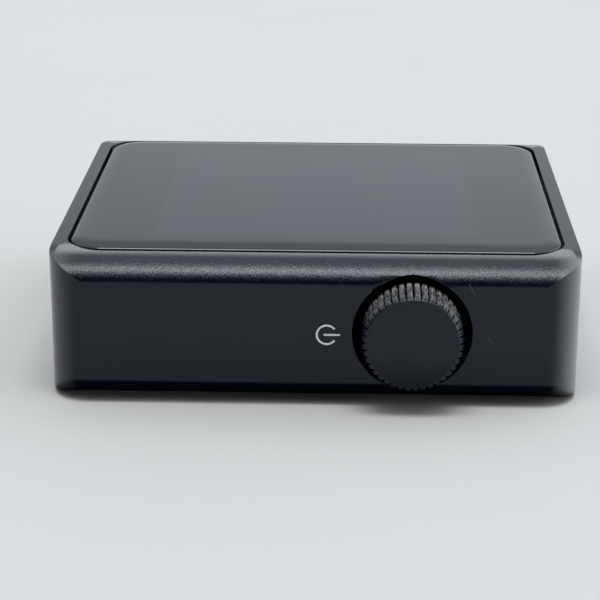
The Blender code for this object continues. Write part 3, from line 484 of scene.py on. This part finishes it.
def floor_material():
    """A matt pale sheet, with painted light that makes it a little brighter far away."""
    surface = Surface("pale_floor", (0.446, 0.449, 0.451), 0.75)
    _, y, _ = surface.axes()
    # Painted light: the far part of the floor is lightened.
    surface.mix_colour(surface.ramp(y, -60 * MM, 180 * MM), (0.487, 0.49, 0.493))
    cloudy = surface.ramp(surface.noise(40 * MM, 3.0), 0.4, 0.9, 0.0, 0.6)
    surface.mix_colour(cloudy, (0.457, 0.459, 0.461))
    surface.bump(surface.noise(1.5 * MM, 3.0), 0.01 * MM)
    return surface.material


# Meshes -------------------------------------------------------------------------------------------


def make_object(name, builder, material=None, smooth_angle=35.0):
    """Turns a mesh under construction into an object, shaded smooth except where it turns by smooth_angle."""
    bmesh.ops.recalc_face_normals(builder, faces=builder.faces)
    mesh = bpy.data.meshes.new(name)
    builder.to_mesh(mesh)
    builder.free()
    mesh.shade_smooth()
    mesh.set_sharp_from_angle(angle=math.radians(smooth_angle))
    made = bpy.data.objects.new(name, mesh)
    bpy.context.scene.collection.objects.link(made)
    if material:
        mesh.materials.append(material)
    return made


def loft(rings):
    """A closed surface through rings of points that all have the same number of points."""
    builder = bmesh.new()
    loops = [[builder.verts.new(point) for point in ring] for ring in rings]
    count = len(loops[0])
    for first, second in zip(loops, loops[1:]):
        for i in range(count):
            j = (i + 1) % count
            builder.faces.new((first[i], first[j], second[j], second[i]))
    builder.faces.new(loops[0])
    builder.faces.new(loops[-1])
    return builder


def rounded_rectangle(half_a, half_b, radius, steps=16):
    """Points round a rectangle with arcs at its corners."""
    points = []
    for corner, (side_a, side_b) in enumerate(((1, 1), (-1, 1), (-1, -1), (1, -1))):
        for step in range(steps + 1):
            angle = math.pi / 2 * (corner + step / steps)
            points.append((
                side_a * (half_a - radius) + radius * math.cos(angle),
                side_b * (half_b - radius) + radius * math.sin(angle),
            ))
    return points


def circle(radius, steps):
    return [
        (radius * math.cos(2 * math.pi * i / steps), radius * math.sin(2 * math.pi * i / steps))
        for i in range(steps)
    ]


def prism(outline, axis, low, high, centre=(0.0, 0.0)):
    """A flat outline extruded along an axis, as a cutter or a small solid."""
    order = {"x": (2, 0, 1), "y": (0, 2, 1), "z": (0, 1, 2)}[axis]
    rings = []
    for level in (low, high):
        ring = []
        for a, b in outline:
            values = (a + centre[0], b + centre[1], level)
            ring.append([values[i] for i in order])
        rings.append(ring)
    return loft(rings)


def apply_modifiers(piece):
    """Makes the evaluated mesh the piece's own mesh."""
    graph = bpy.context.evaluated_depsgraph_get()
    graph.update()
    mesh = bpy.data.meshes.new_from_object(piece.evaluated_get(graph))
    piece.modifiers.clear()
    piece.data = mesh


def cut(piece, *builders):
    """Cuts shapes out of a piece, one after another."""
    for builder in builders:
        cutter = make_object("cutter", builder)
        modifier = piece.modifiers.new("cut", "BOOLEAN")
        modifier.operation = "DIFFERENCE"
        modifier.solver = "EXACT"
        modifier.object = cutter
        apply_modifiers(piece)
        bpy.data.objects.remove(cutter)


def break_edges(piece, width):
    """Rounds a piece's sharp edges a little, and evens out its normals."""
    bevel = piece.modifiers.new("bevel", "BEVEL")
    bevel.width = width
    bevel.segments = 2
    bevel.limit_method = "ANGLE"
    bevel.angle_limit = math.radians(38)
    bevel.use_clamp_overlap = True
    bevel.miter_outer = "MITER_ARC"
    apply_modifiers(piece)
    piece.data.shade_smooth()
    piece.data.set_sharp_from_angle(angle=math.radians(50))
    weighted = piece.modifiers.new("weighted", "WEIGHTED_NORMAL")
    weighted.keep_sharp = True
    weighted.weight = 80
    apply_modifiers(piece)


def half_depth_at(z):
    """How far the case reaches along Y at a height: a quarter ellipse above the flat side, and an undercut
    below it that is very nearly straight."""
    height, depth = LOWER_EDGE
    if z > HEIGHT - UPPER_EDGE:
        share = (z - (HEIGHT - UPPER_EDGE)) / UPPER_EDGE
        return HALF_DEPTH - EDGE_DEPTH * (1 - math.sqrt(max(0.0, 1 - share * share)))
    return HALF_DEPTH - depth * max(0.0, 1 - z / height) ** 1.08


def end_inset_at(z):
    """How far the small rounding at the top and bottom of the end faces draws them in at a height."""
    for radius, depth in ((TOP_BREAK, HEIGHT - z), (BOTTOM_BREAK, z)):
        if depth < radius:
            return radius - math.sqrt(max(0.0, radius * radius - (radius - depth) ** 2))
    return 0.0


def crease_radius_at(z):
    """The crease between the long edges and the corners is sharp at first and softens towards the rim."""
    sharp, soft = CREASE_RADIUS
    share = max(0.0, (z - (HEIGHT - UPPER_EDGE)) / UPPER_EDGE, 1 - z / LOWER_EDGE[0])
    return sharp + (soft - sharp) * share ** 3


def case_quarter(z, crease_steps=8, arc_steps=18, end_steps=5):
    """One corner of the case's outline at a height, from the middle of the long side round to the middle of
    the end, as (x, y) points with the corner at +X +Y."""
    inset = end_inset_at(z)
    crease = crease_radius_at(z)
    reach = half_depth_at(z)
    radius = CORNER_RADIUS - inset
    centre_x = HALF_LENGTH - CORNER_RADIUS
    centre_y = HALF_DEPTH - CORNER_RADIUS
    rise = reach - crease - centre_y
    if rise > 0:
        turn_x = centre_x + math.sqrt(max(0.0, (radius - crease) ** 2 - rise * rise))
        start = math.atan2(rise, turn_x - centre_x)
    else:
        turn_x = centre_x + radius - crease
        start = 0.0
    points = [(turn_x * share, reach) for share in (0.0, 0.25, 0.5, 0.75)]
    for step in range(crease_steps + 1):
        angle = math.pi / 2 + (start - math.pi / 2) * step / crease_steps
        points.append((
            turn_x + crease * math.cos(angle), reach - crease + crease * math.sin(angle)
        ))
    arc_low = min(centre_y, reach - crease)
    for step in range(1, arc_steps + 1):
        angle = start * (1 - step / arc_steps)
        drop = (reach - crease - arc_low) * step / arc_steps if start == 0.0 else 0.0
        height = centre_y + radius * math.sin(angle) if start > 0 else reach - crease - drop
        points.append((centre_x + radius * math.cos(angle), height))
    for step in range(1, end_steps + 1):
        points.append((centre_x + radius, arc_low * (1 - step / end_steps)))
    return points


def case_outline(z):
    """The whole outline at a height."""
    corner = case_quarter(z)
    ring = []
    for side_x, side_y, backwards in ((1, 1, False), (1, -1, True), (-1, -1, False), (-1, 1, True)):
        part = [(side_x * x, side_y * y, z) for x, y in corner]
        if backwards:
            part = part[::-1]
        ring.extend(part[:-1])
    return ring


def case_levels():
    """The heights of the case's slices: close together where it curves."""
    levels = set()
    for i in range(5):
        levels.add(BOTTOM_BREAK * (1 - math.cos(math.pi / 2 * i / 4)))
        levels.add(HEIGHT - TOP_BREAK * (1 - math.cos(math.pi / 2 * i / 4)))
    for i in range(15):
        levels.add(LOWER_EDGE[0] * (1 - (1 - i / 14) ** 2))
        levels.add(HEIGHT - UPPER_EDGE * (1 - math.sin(math.pi / 2 * i / 14)))
    flat_low, flat_high = LOWER_EDGE[0], HEIGHT - UPPER_EDGE
    for i in range(1, 6):
        levels.add(flat_low + (flat_high - flat_low) * i / 6)
    ordered = []
    for z in sorted(levels):
        if not ordered or z - ordered[-1] > 0.004 * MM:
            ordered.append(z)
    ordered[-1] = HEIGHT
    return ordered


def make_case(material):
    """The tub, in fine mesh: lofted slices, then the seat, the cavity, the recess and the ports cut out."""
    case = make_object("case_body", loft([case_outline(z) for z in case_levels()]), material)
    seat_half = (GLASS_HIGH.x + SEAT_GAP[0], GLASS_HIGH.y + SEAT_GAP[1])
    seat_z = HEIGHT - SEAT_DEPTH
    seat = rounded_rectangle(*seat_half, GLASS_CORNER + SEAT_GAP[0])
    cavity_half = (seat_half[0] - SEAT_LEDGE[0], seat_half[1] - SEAT_LEDGE[1])
    cavity = rounded_rectangle(*cavity_half, 1.0 * MM, steps=4)
    centre = (KNOB_CENTRE.x, KNOB_CENTRE.z)
    recess_floor = WASHER_HIGH.y + 0.05 * MM
    cut(
        case,
        prism(seat, "z", seat_z, HEIGHT + MM),
        prism(cavity, "z", FLOOR_THICKNESS, seat_z + MM / 2),
        prism(circle(RECESS_RADIUS, 144), "y", -HALF_DEPTH - MM, recess_floor, centre),
        prism(circle(SHAFT_HOLE_RADIUS, 64), "y", recess_floor - MM, -cavity_half[1] + MM, centre),
    )
    usb_low, usb_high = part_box("usb_shell")
    collar_low, collar_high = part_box("jack_collar")
    card_low, card_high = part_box("card_socket_cover")
    usb_half = [(usb_high[axis] - usb_low[axis]) / 2 + OPENING_CLEARANCE for axis in (1, 2)]
    usb = rounded_rectangle(*usb_half, USB_CORNER)
    usb_centre = ((usb_high.y + usb_low.y) / 2, (usb_high.z + usb_low.z) / 2)
    jack_centre = ((collar_high.y + collar_low.y) / 2, (collar_high.z + collar_low.z) / 2)
    card = rounded_rectangle(*CARD_SLOT_HALF, 0.4 * MM, steps=6)
    card_centre = ((card_high.x + card_low.x) / 2, card_low.z + 0.65 * MM)
    end_span = (-HALF_LENGTH - MM, -cavity_half[0] + MM)
    cut(
        case,
        prism(usb, "x", *end_span, usb_centre),
        prism(circle(JACK_HOLE_RADIUS, 80), "x", *end_span, jack_centre),
        prism(card, "y", cavity_half[1] - MM, HALF_DEPTH + MM, card_centre),
    )
    break_edges(case, 0.045 * MM)
    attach(case, "player")
    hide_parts("case_shell")


def make_glass(material):
    """The cover glass, with a long soft rounding along its upper edge and a small one below."""
    inset_most, drop = GLASS_EDGE
    half = (GLASS_HIGH.x, GLASS_HIGH.y)
    low_break = 0.08 * MM
    profile = [(low_break, GLASS_LOW.z), (0.0, GLASS_LOW.z + low_break)]
    steps = 14
    for step in range(steps + 1):
        angle = math.pi / 2 * step / steps
        profile.append((inset_most * (1 - math.cos(angle)), GLASS_HIGH.z - drop * (1 - math.sin(angle))))
    rings = []
    for inset, z in profile:
        outline = rounded_rectangle(half[0] - inset, half[1] - inset, max(GLASS_CORNER - inset, MM))
        rings.append([(x, y, z) for x, y in outline])
    glass = make_object("screen_glass", loft(rings), material, smooth_angle=30.0)
    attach(glass, "player")
    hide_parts("cover_glass")


def tooth_radius(share, tip):
    """The knob's radius at a share of one tooth's pitch: rounded ridges between narrow grooves."""
    groove, flank = 0.06, 0.24
    across = min(share, 1 - share)
    if across < groove / 2:
        height = 0.0
    elif across < groove / 2 + flank:
        height = math.sin(math.pi / 2 * (across - groove / 2) / flank)
    else:
        height = 1.0
    return min(tip, ROOT_RADIUS + (TIP_RADIUS - ROOT_RADIUS) * height)


def knob_ring(tip, y):
    """One ring of points round the knob at a depth, its teeth no higher than tip."""
    ring = []
    for i in range(TEETH * TOOTH_STEPS):
        share = (i % TOOTH_STEPS) / TOOTH_STEPS
        angle = 2 * math.pi * i / (TEETH * TOOTH_STEPS)
        radius = tooth_radius(share, tip)
        ring.append((KNOB_CENTRE.x + radius * math.cos(angle), y, KNOB_CENTRE.z + radius * math.sin(angle)))
    return ring


def make_knob(material):
    """The knob: a flat face with a bevel that runs out over the teeth, and a bored hub behind."""
    front = KNOB_LOW.y
    tooth_end = KNOB_HIGH.y - 0.35 * MM
    hub_radius, bore_radius = 2.6 * MM, 1.05 * MM
    bevel = TIP_RADIUS - FACE_RADIUS
    levels = [(FACE_RADIUS, front)]
    for step in range(1, 6):
        share = step / 5
        levels.append((FACE_RADIUS + bevel * share, front + 0.35 * MM * share ** 0.9))
    levels += [(TIP_RADIUS, front + (tooth_end - front) * share) for share in (0.2, 0.4, 0.6, 0.9)]
    levels += [
        (TIP_RADIUS - 0.05 * MM, tooth_end - 0.15 * MM),
        (ROOT_RADIUS, tooth_end),
        (hub_radius, tooth_end),
        (hub_radius, KNOB_HIGH.y),
    ]
    rings = [knob_ring(*level) for level in levels]
    knob = make_object("volume_knob", loft(rings), material, smooth_angle=40.0)
    centre = (KNOB_CENTRE.x, KNOB_CENTRE.z)
    cut(knob, prism(circle(bore_radius, 48), "y", front + MM, KNOB_HIGH.y + MM, centre))
    knob.data.set_sharp_from_angle(angle=math.radians(40))
    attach(knob, "dial")
    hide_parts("knob")


def make_usb_contacts(material):
    """Two rows of gold contacts on the tongue in the USB-C receptacle."""
    low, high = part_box("usb_tongue")
    count, pitch, width = 12, 0.5 * MM, 0.26 * MM
    near_end, far_end = low.x + 0.5 * MM, low.x + 3.4 * MM
    middle = (low.y + high.y) / 2
    builder = bmesh.new()
    for side in (1, -1):
        level = high.z if side > 0 else low.z
        for i in range(count):
            y = middle + (i - (count - 1) / 2) * pitch
            corners = [
                builder.verts.new((x, y + dy * width / 2, level + side * dz * MM))
                for dz in (-0.05, 0.03)
                for x, dy in ((near_end, -1), (far_end, -1), (far_end, 1), (near_end, 1))
            ]
            faces = ((0, 1, 2, 3), (4, 5, 6, 7), (0, 1, 5, 4), (1, 2, 6, 5), (2, 3, 7, 6), (3, 0, 4, 7))
            for face in faces:
                builder.faces.new([corners[k] for k in face])
    contacts = make_object("usb_contacts", builder, material)
    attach(contacts, "player")


def dress_nodes(materials):
    """Gives each CAD node that stays the procedural material of its slot."""
    for entry in frame["record"]["subparts"]:
        node = frame["nodes"][entry["node"]]
        node.data.materials.clear()
        node.data.materials.append(materials[entry["material_slot"]])


# Stage --------------------------------------------------------------------------------------------


def make_floor():
    half_size = 1.6
    builder = bmesh.new()
    signs = ((-1, -1), (1, -1), (1, 1), (-1, 1))
    builder.faces.new([builder.verts.new((x * half_size, y * half_size, -0.02 * MM)) for x, y in signs])
    floor = make_object("floor", builder, floor_material())


def soft_panel(name, place, aim, size, radiance):
    """A rectangular soft light of a given brightness."""
    light = bpy.data.lights.new(name, "AREA")
    light.shape = "RECTANGLE"
    light.size, light.size_y = size
    light.energy = 4 * radiance * size[0] * size[1]
    panel = bpy.data.objects.new(name, light)
    bpy.context.scene.collection.objects.link(panel)
    panel.location = place
    direction = Vector(aim) - Vector(place)
    panel.rotation_euler = direction.to_track_quat("-Z", "Y").to_euler()


def make_lights():
    """A soft box over the front edge, in a pale room, dark low at the front and lighter at the right."""
    soft_panel("front_box", (0.0, -0.155, 0.87), (0.0, -0.02, 0.0), (0.5, 0.25), 8.7)
    world = bpy.data.worlds.new("studio")
    world.use_nodes = True
    tree = world.node_tree
    links = tree.links

    def math_step(operation, *values):
        step = tree.nodes.new("ShaderNodeMath")
        step.operation = operation
        for socket, value in zip(step.inputs, values):
            if isinstance(value, bpy.types.NodeSocket):
                links.new(value, socket)
            else:
                socket.default_value = value
        return step.outputs["Value"]

    def ramp(value, low, high, out_low, out_high):
        spread = tree.nodes.new("ShaderNodeMapRange")
        spread.interpolation_type = "SMOOTHSTEP"
        for name, number in zip(RAMP_INPUTS, (low, high, out_low, out_high)):
            spread.inputs[name].default_value = number
        links.new(value, spread.inputs["Value"])
        return spread.outputs["Result"]

    split = tree.nodes.new("ShaderNodeSeparateXYZ")
    links.new(tree.nodes.new("ShaderNodeTexCoord").outputs["Generated"], split.inputs["Vector"])
    x, y, z = split.outputs["X"], split.outputs["Y"], split.outputs["Z"]
    # How far a direction has turned, in degrees, from straight forward (-Y) up over the object to the back.
    turn = math_step("DEGREES", math_step("ARCTAN2", z, math_step("MULTIPLY", y, -1.0)))
    front_rise = ramp(turn, 36.0, 64.0, 0.01, 0.45)
    glow = math_step("MULTIPLY", ramp(turn, 48.0, 64.0, 0.0, 1.5), ramp(turn, 84.0, 102.0, 1.0, 0.0))
    narrow = ramp(math_step("ABSOLUTE", x), 0.2, 0.7, 1.0, 0.15)
    rear_rise = math_step("MULTIPLY", ramp(turn, 84.0, 108.0, 0.0, 0.95), ramp(turn, 118.0, 150.0, 1.0, 0.3))
    upper = math_step("ADD", math_step("ADD", front_rise, rear_rise), math_step("MULTIPLY", glow, narrow))
    right_side = math_step("MULTIPLY", ramp(x, 0.5, 0.85, 0.0, 2.5), ramp(z, 0.25, 0.6, 1.0, 0.0))
    level = math_step("ADD", math_step("MULTIPLY", upper, ramp(x, -0.9, 0.9, 0.8, 1.2)), right_side)
    background = tree.nodes["Background"]
    background.inputs["Color"].default_value = (0.95, 0.98, 1.0, 1.0)
    links.new(level, background.inputs["Strength"])
    bpy.context.scene.world = world


def make_camera():
    data = bpy.data.cameras.new("camera")
    data.lens = CAMERA_LENS
    data.sensor_width = 36.0
    data.clip_start = 0.01
    camera = bpy.data.objects.new("camera", data)
    bpy.context.scene.collection.objects.link(camera)
    turn = Matrix.Rotation(math.radians(CAMERA_TURN), 4, "Z")
    tilt = Matrix.Rotation(math.radians(90 - CAMERA_TILT), 4, "X")
    roll = Matrix.Rotation(math.radians(CAMERA_ROLL), 4, "Z")
    camera.matrix_world = Matrix.Translation(CAMERA_PLACE) @ turn @ tilt @ roll
    bpy.context.scene.camera = camera


materials = slot_materials()
dress_nodes(materials)
make_case(materials["case_aluminium"])
make_glass(materials["cover_glass"])
make_knob(materials["knob_aluminium"])
make_usb_contacts(materials["gold_contact"])
make_floor()
make_lights()
make_camera()
bpy.context.scene.view_settings.view_transform = "Standard"
